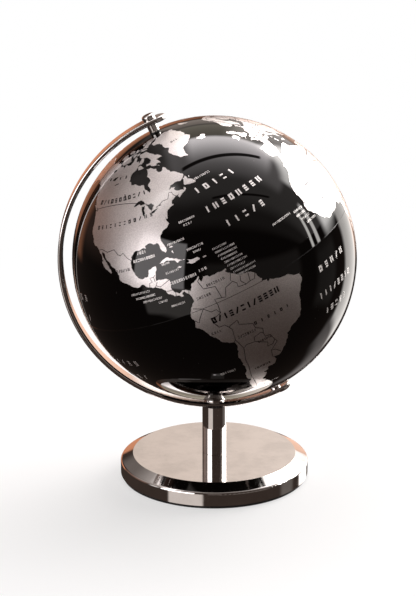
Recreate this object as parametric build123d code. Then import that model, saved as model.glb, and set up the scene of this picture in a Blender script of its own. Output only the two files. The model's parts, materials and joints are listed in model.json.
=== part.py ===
from build123d import *
import os
from math import hypot

# A desktop globe: a ball that spins on a tilted axle held in a C-shaped strip arm,
# on a short round post and a weighted round base.
# Millimetres. Origin at the middle of the underside of the base pad, +Z up.
# The arm lies in the XZ plane and is open towards +X; the north pole leans towards -X.

# ---- driving dimensions --------------------------------------------------------------

# ball
ball_diameter = 200.0
ball_wall = 2.0
axis_tilt = 24.2
lap_length = 5.0
lap_clearance = 0.1
seam_bevel = 0.15

# arm
arm_gap = 6.4
arm_thickness = 3.6
arm_width = 12.6
arm_edge_round = 1.2
arm_end_margin = 11.2

# axle and what is on it
axle_diameter = 4.0
axle_running_clearance = 0.05
axle_hole_clearance = 0.1
bush_body_diameter = 6.2
bush_body_length = 6.0
bush_flange_diameter = 7.6
bush_flange_thickness = 0.4
end_play = 0.2
thrust_washer_diameter = 7.4
thrust_washer_thickness = 0.4
spacer_diameter = 7.4
cap_nut_diameter = 9.2
cap_nut_height = 3.4
cap_nut_thread_depth = 2.6
cap_nut_round = 1.6
foot_nut_diameter = 7.0
foot_nut_height = 2.1
foot_nut_thread_depth = 1.4
foot_nut_round = 0.4
foot_nut_sink = 1.8
foot_nut_side_clearance = 0.15

# post
post_diameter = 17.2
post_length = 35.9
post_wall = 2.0
post_foot_bevel = 0.3
insert_length = 12.0

# screw that holds the arm on the post
arm_screw_diameter = 6.0
arm_screw_hole_clearance = 0.2
arm_screw_reach = 10.0
arm_screw_head_diameter = 13.0
arm_screw_head_height = 2.7
arm_screw_rim_height = 0.7
arm_screw_socket_flats = 4.0
arm_screw_socket_depth = 1.6
saddle_washer_diameter = 14.4
saddle_washer_thickness = 0.9

# base
base_diameter = 135.4
base_height = 16.5
base_bevel_width = 8.9
base_bevel_drop = 4.7
base_edge_round = 2.2
base_top_edge_round = 0.4
base_cover_wall = 1.6
weight_clearance = 0.4
base_plate_thickness = 1.0
base_plate_clearance = 0.2
pad_thickness = 2.2
pad_setback = 1.3

# bolt that holds the base on the post
base_bolt_diameter = 6.0
base_bolt_hole_clearance = 0.3
base_bolt_reach = 9.0
base_bolt_head_flats = 10.0
base_bolt_head_height = 4.0
base_washer_diameter = 18.0
base_washer_thickness = 1.6
lock_washer_diameter = 11.0
lock_washer_thickness = 1.6
lock_washer_split = 0.8
pocket_side_clearance = 1.0
pocket_end_clearance = 0.4

# ---- sizes that follow from them -----------------------------------------------------

ball_radius = ball_diameter / 2
ball_inner_radius = ball_radius - ball_wall
arm_inner_radius = ball_radius + arm_gap
arm_outer_radius = arm_inner_radius + arm_thickness
post_top = base_height + post_length
ball_centre_height = post_top + arm_outer_radius

axle_radius = axle_diameter / 2
axle_hole_radius = axle_radius + axle_hole_clearance
bush_bore_radius = axle_radius + axle_running_clearance
bush_body_radius = bush_body_diameter / 2
bush_face = ball_radius + bush_flange_thickness
washer_inner_face = bush_face + end_play
washer_outer_face = washer_inner_face + thrust_washer_thickness
foot_nut_seat = arm_outer_radius - foot_nut_sink

post_radius = post_diameter / 2
post_bore_radius = post_radius - post_wall
arm_seat = ball_centre_height - arm_inner_radius
arm_screw_radius = arm_screw_diameter / 2
arm_screw_head_seat = arm_seat + saddle_washer_thickness

base_radius = base_diameter / 2
base_top_radius = base_radius - base_bevel_width
bevel_slope = base_bevel_drop / base_bevel_width
bevel_stretch = hypot(base_bevel_width, base_bevel_drop) / base_bevel_width
base_cavity_top = base_height - base_cover_wall
base_bolt_radius = base_bolt_diameter / 2
base_bolt_hole_radius = base_bolt_radius + base_bolt_hole_clearance
weight_underside = pad_thickness + base_plate_thickness
bolt_head_underside = weight_underside + pocket_end_clearance
lock_washer_underside = bolt_head_underside + base_bolt_head_height
base_washer_underside = lock_washer_underside + lock_washer_thickness
pocket_roof = base_washer_underside + base_washer_thickness

# the spin axis: +Z of this frame runs from the ball's centre to the north pole
spin_frame = Pos(0, 0, ball_centre_height) * Rot(0, -axis_tilt, 0)
to_south = Rot(0, 180, 0)


# ---- helpers -------------------------------------------------------------------------

def turned(points, rounds=()):
    """A solid of revolution about Z from (radius, height) points, some corners rounded."""
    outline = make_face(Polyline(*points, close=True))
    for corner, radius in rounds:
        vertex = outline.vertices().sort_by_distance((*corner, 0))[0]
        outline = fillet(vertex, radius)
    return revolve(Plane.XZ * outline, Axis.Z)


def tube(outer_radius, inner_radius, low, high):
    """A plain tube about Z between two heights."""
    return turned([(inner_radius, low), (outer_radius, low), (outer_radius, high), (inner_radius, high)])


def rod(radius, low, high):
    """A plain rod about Z between two heights."""
    return Pos(0, 0, (low + high) / 2) * Cylinder(radius, high - low)


def hexagon(flats, low, high):
    """A hexagonal prism about Z between two heights, measured across its flats."""
    return Pos(0, 0, low) * extrude(RegularPolygon(flats / 2, 6, major_radius=False), high - low)


def drum(radius, width):
    """A drum about the Y direction, centred on the origin: the arm's curves are its surface."""
    return Rot(90, 0, 0) * Cylinder(radius, width)


def level_drum(radius, width):
    """The same drum at the ball's centre, for pieces on the post."""
    return Pos(0, 0, ball_centre_height) * drum(radius, width)


# ---- ball: made with its pole up and its rim on the origin's plane --------------------

def half_shell():
    """One half of the hollow ball, its rim edge bevelled and its pole bored for the bush."""
    shell = Sphere(ball_radius) - Sphere(ball_inner_radius)
    shell &= Pos(0, 0, ball_radius) * Box(ball_diameter, ball_diameter, ball_diameter)
    rim_cut = turned([
        (ball_radius - seam_bevel, 0),
        (ball_radius + seam_bevel, 0),
        (ball_radius + seam_bevel, 2 * seam_bevel),
    ])
    bush_hole = rod(bush_body_radius, 0, ball_radius)
    return shell - rim_cut - bush_hole


def northern_hemisphere():
    """The half with a step inside its rim, which takes the other half's tongue."""
    step = rod(ball_radius - ball_wall / 2, 0, lap_length + lap_clearance)
    return half_shell() - step


def southern_hemisphere():
    """The half with a tongue that stands out of its rim and laps inside the other half."""
    tongue_outer = ball_radius - ball_wall / 2 - lap_clearance
    tongue_inner = ball_inner_radius + lap_clearance
    return half_shell() + tube(tongue_outer, tongue_inner, -lap_length, ball_wall / 2)


# ---- pole pieces: made about the spin axis, pointing out of the north pole ------------

def bush():
    """A flanged plastic bush pressed into a pole of the ball; it turns on the axle."""
    body = tube(bush_body_radius, bush_bore_radius, ball_radius - bush_body_length, bush_face)
    flange = tube(bush_flange_diameter / 2, bush_bore_radius, ball_inner_radius, bush_face)
    return body + (flange - Sphere(ball_radius))


def axle_rod():
    """The rod through the ball and both ends of the arm, threaded for the nuts."""
    south_end = -foot_nut_seat - foot_nut_thread_depth
    return rod(axle_radius, south_end, arm_outer_radius + cap_nut_thread_depth)


def thrust_washer():
    """The thin washer that the bush's flange turns against."""
    return tube(thrust_washer_diameter / 2, axle_hole_radius, washer_inner_face, washer_outer_face)


def spacer():
    """The sleeve from the thrust washer to the arm, its outer end shaped to the arm."""
    sleeve = tube(spacer_diameter / 2, axle_hole_radius, washer_outer_face, arm_outer_radius)
    return sleeve & drum(arm_inner_radius, spacer_diameter * 2)


def blind_nut(diameter, seat, height, edge_round, thread_depth):
    """A round blind nut on the end of the axle, from its seat outwards."""
    radius = diameter / 2
    top = seat + height
    body = turned([(0, seat), (radius, seat), (radius, top), (0, top)], [((radius, top), edge_round)])
    return body - rod(axle_radius, seat, seat + thread_depth)


def cap_nut():
    """The domed nut at the north end."""
    return blind_nut(cap_nut_diameter, arm_outer_radius, cap_nut_height, cap_nut_round, cap_nut_thread_depth)


def foot_nut():
    """The low nut at the south end, let into the arm and almost flush with it."""
    return blind_nut(foot_nut_diameter, foot_nut_seat, foot_nut_height, foot_nut_round, foot_nut_thread_depth)


# ---- arm -----------------------------------------------------------------------------

def meridian_arm():
    """The C-shaped strip, its rounded ends bored for the axle and its foot for the post's screw."""
    ring = drum(arm_outer_radius, arm_width) - drum(arm_inner_radius, arm_width)
    end_centre = arm_end_margin - arm_width / 2
    span = 2 * arm_outer_radius
    plan = Pos(end_centre - span / 2, 0, 0) * Box(span, arm_width, span)
    plan += Pos(end_centre, 0, 0) * Cylinder(arm_width / 2, span)
    strip = ring & plan
    strip = fillet(strip.edges().filter_by(GeomType.LINE, reverse=True), arm_edge_round)
    strip -= rod(axle_hole_radius, -span, span)
    strip -= rod(foot_nut_diameter / 2 + foot_nut_side_clearance, -span, -foot_nut_seat)
    screw_hole = rod(arm_screw_radius + arm_screw_hole_clearance, 0, ball_centre_height)
    return spin_frame * strip - screw_hole


# ---- post and the screw that holds the arm --------------------------------------------

def post_tube():
    """The round post, its foot bevelled and its top cut to the arm's outer curve."""
    wall = turned([
        (post_bore_radius, base_height),
        (post_radius - post_foot_bevel, base_height),
        (post_radius, base_height + post_foot_bevel),
        (post_radius, ball_centre_height),
        (post_bore_radius, ball_centre_height),
    ])
    return wall - level_drum(arm_outer_radius, post_diameter * 2)


def post_upper_insert():
    """The tapped plug in the top of the post, cut to the same curve."""
    plug = tube(post_bore_radius, arm_screw_radius, post_top - insert_length, ball_centre_height)
    return plug - level_drum(arm_outer_radius, post_diameter * 2)


def post_lower_insert():
    """The tapped plug in the foot of the post."""
    return tube(post_bore_radius, base_bolt_radius, base_height, base_height + insert_length)


def saddle_washer():
    """The washer under the screw's head: flat on top, curved to the arm below."""
    hole_radius = arm_screw_radius + arm_screw_hole_clearance
    blank = tube(saddle_washer_diameter / 2, hole_radius, post_top, arm_screw_head_seat)
    return blank & level_drum(arm_inner_radius, saddle_washer_diameter * 2)


def arm_screw():
    """The domed socket screw that holds the arm on the post."""
    head_radius = arm_screw_head_diameter / 2
    dome_rise = arm_screw_head_height - arm_screw_rim_height
    dome_radius = (head_radius ** 2 + dome_rise ** 2) / (2 * dome_rise)
    head_top = arm_screw_head_seat + arm_screw_head_height
    head = rod(head_radius, arm_screw_head_seat, head_top)
    head &= Pos(0, 0, head_top - dome_radius) * Sphere(dome_radius)
    shank = rod(arm_screw_radius, post_top - arm_screw_reach, arm_screw_head_seat)
    socket = hexagon(arm_screw_socket_flats, head_top - arm_screw_socket_depth, head_top)
    return head + shank - socket


# ---- base ----------------------------------------------------------------------------

def base_section(inset, top, bottom, bore_radius):
    """Half section of the bevelled disc, its bevel and side moved in by inset."""
    side = base_radius - inset
    bevel_fall = inset * bevel_stretch
    top_edge = base_top_radius - (bevel_fall - (base_height - top)) / bevel_slope
    shoulder = base_height - bevel_fall - (side - base_top_radius) * bevel_slope
    return [(bore_radius, top), (top_edge, top), (side, shoulder), (side, bottom), (bore_radius, bottom)]


def base_cover():
    """The polished shell of the base: flat top, bevel, rounded edge and short side wall."""
    outside = base_section(0, base_height, pad_thickness, base_bolt_hole_radius)
    top_edge, shoulder = outside[1], outside[2]
    rounds = [(top_edge, base_top_edge_round), (shoulder, base_edge_round)]
    cavity = base_section(base_cover_wall, base_cavity_top, pad_thickness, 0)
    return turned(outside, rounds) - turned(cavity)


def base_weight():
    """The cast disc that fills the cover, with a pocket below for the bolt's head."""
    inset = base_cover_wall + weight_clearance
    disc = turned(base_section(inset, base_cavity_top, weight_underside, base_bolt_hole_radius))
    pocket_radius = base_washer_diameter / 2 + pocket_side_clearance
    return disc - rod(pocket_radius, weight_underside, pocket_roof)


def base_plate():
    """The thin disc that closes the cover from below."""
    radius = base_radius - base_cover_wall - base_plate_clearance
    return rod(radius, pad_thickness, weight_underside)


def base_pad():
    """The soft pad under the base, set back a little from the side wall."""
    return rod(base_radius - pad_setback, 0, pad_thickness)


def base_bolt():
    """The hexagon bolt up through the weight and the cover into the post."""
    head = hexagon(base_bolt_head_flats, bolt_head_underside, lock_washer_underside)
    return head + rod(base_bolt_radius, lock_washer_underside, base_height + base_bolt_reach)


def base_lock_washer():
    """The split spring washer on the bolt."""
    ring = tube(lock_washer_diameter / 2, base_bolt_hole_radius, lock_washer_underside, base_washer_underside)
    reach = lock_washer_diameter / 2
    gap = Pos(reach / 2, 0, lock_washer_underside) * Box(reach, lock_washer_split, 2 * lock_washer_thickness)
    return ring - gap


def base_washer():
    """The wide flat washer under the weight."""
    return tube(base_washer_diameter / 2, base_bolt_hole_radius, base_washer_underside, pocket_roof)


# ---- all the pieces in their places ----------------------------------------------------

north = spin_frame
south = spin_frame * to_south

pieces = {
    "northern_hemisphere": north * northern_hemisphere(),
    "southern_hemisphere": south * southern_hemisphere(),
    "north_bush": north * bush(),
    "south_bush": south * bush(),
    "axle_rod": north * axle_rod(),
    "north_thrust_washer": north * thrust_washer(),
    "south_thrust_washer": south * thrust_washer(),
    "north_spacer": north * spacer(),
    "south_spacer": south * spacer(),
    "north_cap_nut": north * cap_nut(),
    "south_cap_nut": south * foot_nut(),
    "meridian_arm": meridian_arm(),
    "saddle_washer": saddle_washer(),
    "arm_screw": arm_screw(),
    "post_tube": post_tube(),
    "post_upper_insert": post_upper_insert(),
    "post_lower_insert": post_lower_insert(),
    "base_cover": base_cover(),
    "base_weight": base_weight(),
    "base_plate": base_plate(),
    "base_pad": base_pad(),
    "base_bolt": base_bolt(),
    "base_lock_washer": base_lock_washer(),
    "base_washer": base_washer(),
}

os.makedirs("parts", exist_ok=True)
for name, piece in pieces.items():
    export_step(piece, f"parts/{name}.step")
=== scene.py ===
import json
import random
from math import ceil, cos, degrees, radians, sin

import bpy
import numpy as np
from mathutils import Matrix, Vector
from mathutils.geometry import delaunay_2d_cdt


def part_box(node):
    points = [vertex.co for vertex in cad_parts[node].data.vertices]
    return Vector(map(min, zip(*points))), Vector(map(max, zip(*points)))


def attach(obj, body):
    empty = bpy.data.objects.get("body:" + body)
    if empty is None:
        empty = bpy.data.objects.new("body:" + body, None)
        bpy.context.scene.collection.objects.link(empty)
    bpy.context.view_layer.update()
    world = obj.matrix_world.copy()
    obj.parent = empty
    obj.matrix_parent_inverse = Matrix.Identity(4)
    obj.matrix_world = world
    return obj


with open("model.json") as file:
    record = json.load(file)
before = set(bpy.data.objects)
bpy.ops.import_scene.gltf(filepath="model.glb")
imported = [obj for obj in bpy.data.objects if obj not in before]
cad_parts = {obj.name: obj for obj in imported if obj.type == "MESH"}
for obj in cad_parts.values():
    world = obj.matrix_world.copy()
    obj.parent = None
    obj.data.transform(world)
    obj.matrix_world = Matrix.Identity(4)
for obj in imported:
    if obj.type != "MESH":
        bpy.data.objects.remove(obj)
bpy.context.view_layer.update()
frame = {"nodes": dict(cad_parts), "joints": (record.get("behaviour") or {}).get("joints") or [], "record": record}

# Looks for a desk globe: black gloss ball with a printed silver map, polished metal stand.
# Metres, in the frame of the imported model: +Z up, the arm in the XZ plane, seen from -Y.

spin = frame["joints"][0]
BALL_CENTRE = Vector(spin["pos_m"])
NORTH = Vector(spin["axis"]).normalized()
BALL_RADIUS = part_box("northern_hemisphere")[1].y
MM = 0.001

# ---- the map: coasts as longitude and latitude in degrees, east and north positive -----------

LAND = (
    # North and Central America
    """-168.1 65.6, -163.8 66.6, -166.8 68.35, -161.9 70.3, -156.6 71.35, -148.5 70.4, -141 69.65,
    -136.5 69, -134.5 69.6, -128 70.55, -125.5 69.4, -121 69.8, -117 68.95, -115.3 67.9, -110 67.95,
    -107.7 66.6, -106 68.6, -102.5 67.8, -98.5 67.8, -97.5 68.6, -95.8 69.8, -96.4 71.2, -94.5 72,
    -92.6 71.2, -91.8 69.6, -90.5 68.6, -88 68.8, -87 67.3, -84.8 69.2, -85.5 69.85, -82.5 69.75,
    -81.3 69.1, -81.4 67.6, -83.5 66.4, -86.2 66.5, -87.3 65.3, -90.7 63.4, -92.5 62.8, -94 61.4,
    -94.6 58.85, -93 58.7, -92.6 57, -88.8 56.85, -85 55.3, -82.3 55.15, -82.2 53, -80.5 51.3, -78.8 51.5,
    -79.3 54.5, -77.5 55.5, -76.6 56.5, -78.5 58.8, -77.5 60, -77.8 62.5, -73.8 62.45, -71.5 61.2, -69.8 61,
    -69.5 59, -67.8 58.4, -66 58.8, -64.5 60.3, -61.8 57.5, -61.5 56.3, -58 54.8, -55.7 52.4, -56.9 51.5,
    -60 50.2, -66.4 50.1, -67.3 49.3, -70.2 47.4, -71.1 46.8, -68.5 48.5, -66.5 49.1, -64.3 48.7, -65.8 48,
    -64.9 46.8, -61.4 45.65, -60.4 46.95, -59.8 46, -63.5 44.6, -65.6 43.5, -66 44.4, -64.6 45.3, -67 44.8,
    -70.2 43.6, -71 42.2, -70 42, -71.3 41.5, -74 40.7, -75.1 38.6, -75.9 37.2, -76.3 38.5, -76.3 37,
    -75.5 35.25, -77.95 33.9, -80.8 32.2, -81.4 31, -80.05 26.9, -80.2 25.6, -80.9 25.15, -82.7 27.6,
    -82.7 28.8, -83.6 29.8, -85.2 29.65, -86.3 30.4, -89.4 30.2, -89.2 29.1, -91.5 29.4, -94.8 29.3,
    -97.3 27.5, -97.8 22.3, -96.1 19.1, -94.5 18.15, -91.4 18.6, -90.4 20.9, -87 21.55, -88 18.4,
    -88.9 15.9, -86 15.95, -83.2 15, -83.7 11, -82.6 9.6, -81.4 8.8, -79.6 9.55, -77.4 8.7, -77.9 7.25,
    -79.1 8.95, -80.4 8.2, -80 7.5, -80.9 7.2, -81.7 8.1, -83.6 8.45, -85.85 10.3, -87.6 12.9, -92.2 14.5,
    -94.9 16.25, -96.5 15.7, -101.7 17.6, -105.65 20.4, -105.4 21.5, -109.4 26.6, -112.2 29, -113.1 31.1,
    -114.7 31.75, -114 29.6, -111.5 26.6, -109.45 23.3, -109.95 22.9, -112.1 24.6, -115.05 27.8,
    -114.1 28.1, -117.15 32.6, -118.4 33.8, -120.5 34.5, -122.5 37.7, -124.3 40.3, -124 45, -124.7 48.35,
    -122.8 48.1, -123.1 49.2, -127.5 51.3, -130.3 54.5, -133.5 57.5, -139.7 59.6, -146.5 60.9, -151.8 59.2,
    -150.5 61.2, -154 59.2, -158.8 55.9, -164.5 54.5, -160 56.2, -157 58.8, -162 58.7, -162.2 59.9,
    -166 61.6, -161.2 63.5, -161.2 64.5, -165.4 64.5""",
    # South America
    """-77.4 8.7, -76.8 8.1, -75.5 10.6, -73.3 11.3, -71.7 12.4, -71.9 11.2, -71.6 10, -71.1 10.3,
    -70.2 11.6, -68.4 11.2, -68 10.5, -61.9 10.7, -61.6 9.8, -60 8.5, -58.5 7.3, -57.3 6.1, -54 5.8,
    -51.6 4.2, -50 1, -50.6 -0.2, -48.5 -0.3, -48.4 -1.5, -47.3 -0.7, -44.5 -2, -40 -2.9, -37.2 -4.8,
    -35.4 -5.2, -34.8 -7.2, -37 -11, -38.4 -13, -39.1 -17.5, -40.9 -21.8, -44.6 -23.3, -48.5 -25.8,
    -48.7 -28.2, -52.1 -32.2, -54.9 -34.95, -58.4 -34, -56.7 -36.5, -57.7 -38.2, -62.1 -39, -62.3 -40.6,
    -65.1 -41.1, -63.7 -42.3, -65.3 -44.5, -67.5 -46.1, -65.8 -47.6, -69 -50.5, -68.4 -52.4, -70.8 -52.8,
    -71.2 -53.8, -73.3 -53, -75.5 -49.5, -75.4 -46, -72.7 -42.5, -73.9 -41.5, -73.5 -37.1, -71.6 -33,
    -71.5 -30, -70.5 -23.5, -70.4 -18.3, -75 -15.5, -77.2 -12, -79.8 -7.3, -81.2 -6, -80.3 -3.4, -80.9 -2.2,
    -80 0.8, -77.3 3.8, -77.5 6.5, -77.9 7.25""",
    # Greenland and the Arctic islands
    """-73 78.2, -65.4 80, -62.5 81.2, -40 83.2, -30 83.6, -22 82.4, -12.2 81.4, -18 80, -19.5 77.5,
    -18.5 76, -22 73.2, -24.5 72.5, -22.3 70.2, -26.3 68.6, -34.5 66.4, -39.8 65.5, -43 60.1, -48.5 61.1,
    -52 65, -53.7 67.2, -51 69.7, -54.5 70.7, -55.8 73.5, -58.5 75.6, -68.5 76.1""",
    """-66 61.9, -68.8 63.7, -64.5 63.2, -67.5 66.2, -61.4 66.6, -68 69.2, -75 71.8, -81 73.6, -89.5 73,
    -89 71.2, -82 69.8, -77 69.2, -72.8 66.8, -73.8 65.4, -77.5 65.4, -78 64.4, -74 64.4, -72 63.2""",
    """-117 73, -119 71.6, -116 70, -113 68.5, -105 69.1, -101 70.2, -105 72.7, -109 73, -111 72.5,
    -114 73.2""",
    "-125 72, -123 71.2, -115.5 73.4, -118 74.3, -122 74.5",
    "-90 76.5, -80 76.2, -76 78.5, -70 80.6, -62 82.3, -75 83.1, -91 81.5, -87 80, -88 78.4",
    "-95 80.5, -96 79.5, -92 78.3, -89.5 78.8, -89 80.4",
    "-81 75.6, -80 74.8, -91.5 74.7, -92 76.4, -89.5 75.7", "-91 74, -90.5 72.8, -94 72.1, -95.5 73.6",
    "-97 74, -97 72.5, -99 71.5, -102 72.6, -100.5 73.8",
    "-106 75.8, -106 74.8, -112 74.5, -116.5 75, -117 76.2, -109 76.6",
    "-98 76.5, -98 75, -103 75.5, -102 76.5", "-80.3 63.8, -86 63.6, -87 65.3, -84.5 65.9, -82 64.7",
    "-59.3 47.7, -55.5 46.9, -53.3 46.7, -52.8 47.6, -55.7 50, -55.6 51.6, -57.2 50.7, -59.2 48.4",
    "-128 50.7, -125.3 50, -123.5 48.4, -125.5 48.8",
    "-24.3 65.6, -22.2 66.4, -20.5 65.8, -16.5 66.5, -14.7 64.8, -18.5 63.4, -22.6 63.9, -22 64.6",
    "11 79, 15 77, 17.5 76.7, 21 78.4, 27 80.1, 20 80.5, 14 79.8",
    "52 71.5, 57 70.7, 55.5 72.8, 58 74.8, 68.5 76.8, 62 76.2, 55.5 75, 52.5 72.8",
    "96 79.5, 95 81, 105 79, 103 78", "138 75.8, 145 75.6, 150 75.2, 143 73.4",
    # West Indies
    "-84.9 21.9, -82.7 23, -80.5 23.1, -77.3 21.6, -74.2 20.2, -77.5 19.9, -78.5 21.3, -81.8 22.2",
    "-74.4 18.5, -71.4 17.6, -68.4 18.3, -69.3 19.2, -73.3 19.9, -72.6 18.9",
    "-78.3 18.3, -77.2 17.8, -76.3 18, -77.2 18.5", "-67.2 18, -65.7 18, -65.8 18.4, -67.1 18.5",
    "-61.9 10.1, -61 10.1, -61 10.8, -61.7 10.7", "-78.4 24.6, -77.6 23.8, -77.8 25.1",
    "-78.9 26.6, -77.1 26.3, -77.6 26.9", "-61.3 14.9, -60.8 14.4, -61.1 14.4",
    "-61.8 16.3, -61.2 16.2, -61.5 16", "-64.8 -51.9, -58 -51.5, -58.5 -52.2, -60.8 -52.2",
    "-68.5 -52.7, -65.2 -54.7, -69 -55.5, -71.8 -54.5, -70 -53.5",
    # Europe, Asia and Africa
    """-5.6 36, -8.9 37, -9.5 38.7, -8.8 41.5, -9.2 43.1, -1.8 43.4, -1.2 44.7, -2.5 47.3, -4.7 48.2,
    -1.7 48.7, -1.3 49.7, 1.5 50.2, 3.6 51.4, 4.9 53.1, 8.3 53.8, 8.1 57, 10.6 57.7, 10.3 56.3, 9.6 55,
    10.9 54, 14 54, 18.5 54.7, 21.1 55.5, 21.2 57.2, 24 57.2, 23.5 59.2, 28 59.6, 22.8 60, 21.4 61.2,
    21.3 62.8, 24.7 65, 22 65.7, 17.5 62.3, 17.2 60.8, 18.7 60, 16.5 57.6, 15.9 56.1, 12.9 55.5, 10.6 59.3,
    8 58.1, 5.5 58.9, 5 61.8, 11.2 64.9, 16 68.5, 25.7 71.1, 31 70.4, 41 67.8, 40.5 66.4, 34.8 66.7,
    32.5 67.1, 34.8 64.6, 37.5 64, 40 65.8, 43.9 66.1, 44.2 68.3, 53.5 68.8, 60.5 69.3, 68 68.3, 66.7 70.5,
    69 72.8, 72.7 72.7, 72.5 69.5, 71.8 66.5, 74.5 67.8, 74 72.7, 80.5 73.5, 87 75, 98 76.4, 104.3 77.7,
    113.5 75.6, 108 73.7, 118.5 73.2, 129 71.2, 140 72.5, 150 71.6, 160 69.8, 170 70, 178 69.4, 190.3 66.1,
    187 64.5, 180 65, 177.5 64.7, 179.3 62.6, 170.3 60, 166 60.2, 162.5 56.2, 161.8 54.9, 156.7 51,
    155.8 56.8, 163.5 62.5, 157 61.7, 154.5 59.5, 143 59.3, 135.5 54.8, 141.3 53.2, 140.3 48, 135.5 44,
    131.9 43.2, 127.5 39.7, 129.4 37, 129.2 35.2, 126.5 34.4, 126.6 37, 124.5 40, 121.3 38.9, 121.9 40.7,
    118 39.1, 119 37.3, 122.5 37.2, 119.4 35, 121.8 31.9, 121.9 29.5, 119.5 25.5, 116.5 23, 110.5 21.3,
    109.8 20.4, 108 21.6, 105.8 19, 108.8 15.3, 109.4 12, 104.9 8.6, 105 10.2, 101 12.7, 100.1 13.4,
    99.3 10.5, 103.3 4.5, 103.9 1.5, 101.3 2.9, 98.3 8, 98.7 12, 97.6 16.3, 94.3 16.1, 94.2 18.8, 91.8 22.4,
    87 21.4, 86.3 20, 82.3 16.6, 80.3 13, 79.8 10.3, 77.5 8.1, 74.5 14, 72.9 18.5, 72.8 21, 70.8 20.8,
    69 22.3, 67 24.8, 57.3 25.7, 56.5 27.1, 51.5 27.9, 50 30, 48 30, 50 26.8, 51.6 24.2, 54 24.1, 56.3 26.3,
    56.6 24.4, 59.8 22.4, 57.8 19, 52.2 15.6, 45 12.8, 43.4 12.7, 42.7 16.5, 39 21.2, 34.7 28, 34.9 29.5,
    34.2 27.9, 32.6 29.9, 35.5 24, 37.3 21, 37.4 18.8, 39.7 15.2, 43.3 11.5, 44.5 10.4, 51.2 11.9, 50.8 9.5,
    48 4.5, 43 -0.5, 39 -5.5, 40.5 -10.8, 40.6 -15.3, 34.8 -20.5, 35.5 -23.8, 32.8 -25.9, 30.8 -30.8,
    27.5 -33.3, 20 -34.8, 18.4 -34.2, 15.2 -27, 14.4 -22.5, 11.8 -17.8, 13.7 -12, 12.2 -6, 9 -1, 9.5 2.5,
    8.7 4.5, 6 4.3, 4.3 6.3, -2 4.8, -7.6 4.4, -13.2 8.9, -16.8 12.4, -17.4 14.7, -16.3 17.5, -17 21,
    -14.5 26, -9.8 29.8, -9.7 31.5, -5.9 35.8, -2 35.1, 3 36.9, 10 37.3, 10.2 34.2, 15 32.4, 19.5 30.4,
    20.1 32.2, 29 30.9, 34.3 31.3, 36.2 36.8, 30.7 36.8, 27.5 36.8, 26.2 39.3, 29.2 41.1, 26 40.7,
    23.3 40.3, 24 37.9, 22.8 36.5, 19.4 41, 14.5 45.2, 12.4 45.3, 13.6 43.6, 18.5 40.1, 17 40.5, 15.7 38,
    15.8 40, 10.3 43.5, 8.8 44.4, 6.5 43.1, 3.2 43.2, 0.2 40, -0.3 38.5, -2.1 36.8""",
    """-5.5 50.1, -1 50.8, 1.3 51.2, 1.7 52.7, 0.2 53, -1.5 55, -2 57.6, -4 57.8, -3.1 58.6, -5 58.6,
    -5.8 57.2, -5 55.5, -3.4 54.9, -3 53.7, -4.6 53.2, -4.2 52.3, -5.2 51.9, -3.5 51.4""",
    "-10 51.7, -6.4 52.2, -5.6 54.6, -8.2 55.3, -10 54.1, -9 53.2", "11.2 55.5, 12.6 56, 12 54.9",
    "12.4 38, 15.6 38.2, 15.1 36.7", "8.2 41, 9.6 41, 9.6 39.2, 8.5 39", "8.6 42.5, 9.4 43, 9.4 41.5",
    "23.6 35.5, 26.3 35.2, 24.7 34.9", "32.4 35, 34.5 35.7, 33.5 34.6",
    "44 -25, 47 -25, 49.8 -16, 49.3 -12, 46.5 -15.7, 44.3 -17, 43.3 -22",
    "79.8 8, 80.2 6, 81.8 7, 80.2 9.6",
    # East Indies, Japan and the south
    "95.3 5.6, 98 4, 103.5 -1, 106 -3, 105.8 -5.8, 102.3 -4, 98.7 1.7",
    "105.2 -6.8, 106.5 -6, 110.8 -6.4, 114.4 -7.8, 114.4 -8.7, 108 -7.8",
    "109 1.8, 111.3 2.5, 116.9 7, 119 5.2, 117.5 0, 116 -4, 114.5 -3.8, 111.5 -3.4, 110 -1.5",
    "119 -0.5, 120 1.2, 125 1.6, 120.7 0.3, 123 -1, 122.3 -5.2, 121 -2.8, 120.4 -5.6, 119.5 -5.5",
    "120.3 16, 120.7 18.5, 122.2 18.4, 121.6 15.8, 124 12.7, 121 13.7",
    "122 7, 123.5 8.6, 125.5 9.7, 126.5 7.5, 125.4 5.6, 124 6.5",
    """131 -0.8, 134 -0.9, 135 -3.3, 138 -1.7, 145 -4.3, 147.8 -6, 150.8 -10.4, 147 -9.7, 143 -8.5,
    138 -8.3, 138 -5.6, 133 -4.1, 132 -2.8""",
    """130.9 34, 132.5 35.4, 136 35.7, 137 37.5, 138.5 37.3, 140.3 41.2, 141.5 41.4, 142 39.5, 140.3 35.2,
    138.7 34.7, 135.8 33.5, 135 34.6, 132 33.9""",
    "129.7 33, 131 33.9, 132 33, 131.3 31.4, 130.2 31.2", "132.6 33.8, 134.6 34, 133 32.8",
    "140 41.5, 140.4 43.3, 141.7 45.4, 145.3 43.8, 143.2 42, 141 42.5",
    "142 46, 143 49, 144.6 49, 143.2 52.5, 142.7 54.3, 141.7 52", "120.1 23, 121.5 25.2, 120.9 22",
    "108.7 19.2, 110.7 20, 109.5 18.2",
    """114 -22, 113.5 -26, 115.7 -31.8, 115 -34.2, 118 -35, 124 -33, 131.5 -31.5, 135.8 -34.9, 137.8 -32.8,
    138 -35.5, 143.5 -38.8, 146.4 -39, 150 -37.4, 153.5 -28.5, 153 -25.3, 148 -20, 146 -18.8, 145.4 -15,
    143.7 -14.3, 142.5 -10.8, 141 -17.5, 139 -17.4, 135.5 -14.8, 136.8 -12.2, 132.5 -11.4, 129.5 -15,
    127 -14, 122.2 -18, 121 -19.6""",
    "144.7 -40.8, 148.3 -40.9, 147.8 -43.2, 146 -43.5",
    "166.5 -46, 168.5 -46.6, 174.2 -41.7, 172.8 -40.6, 170.5 -43",
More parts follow.
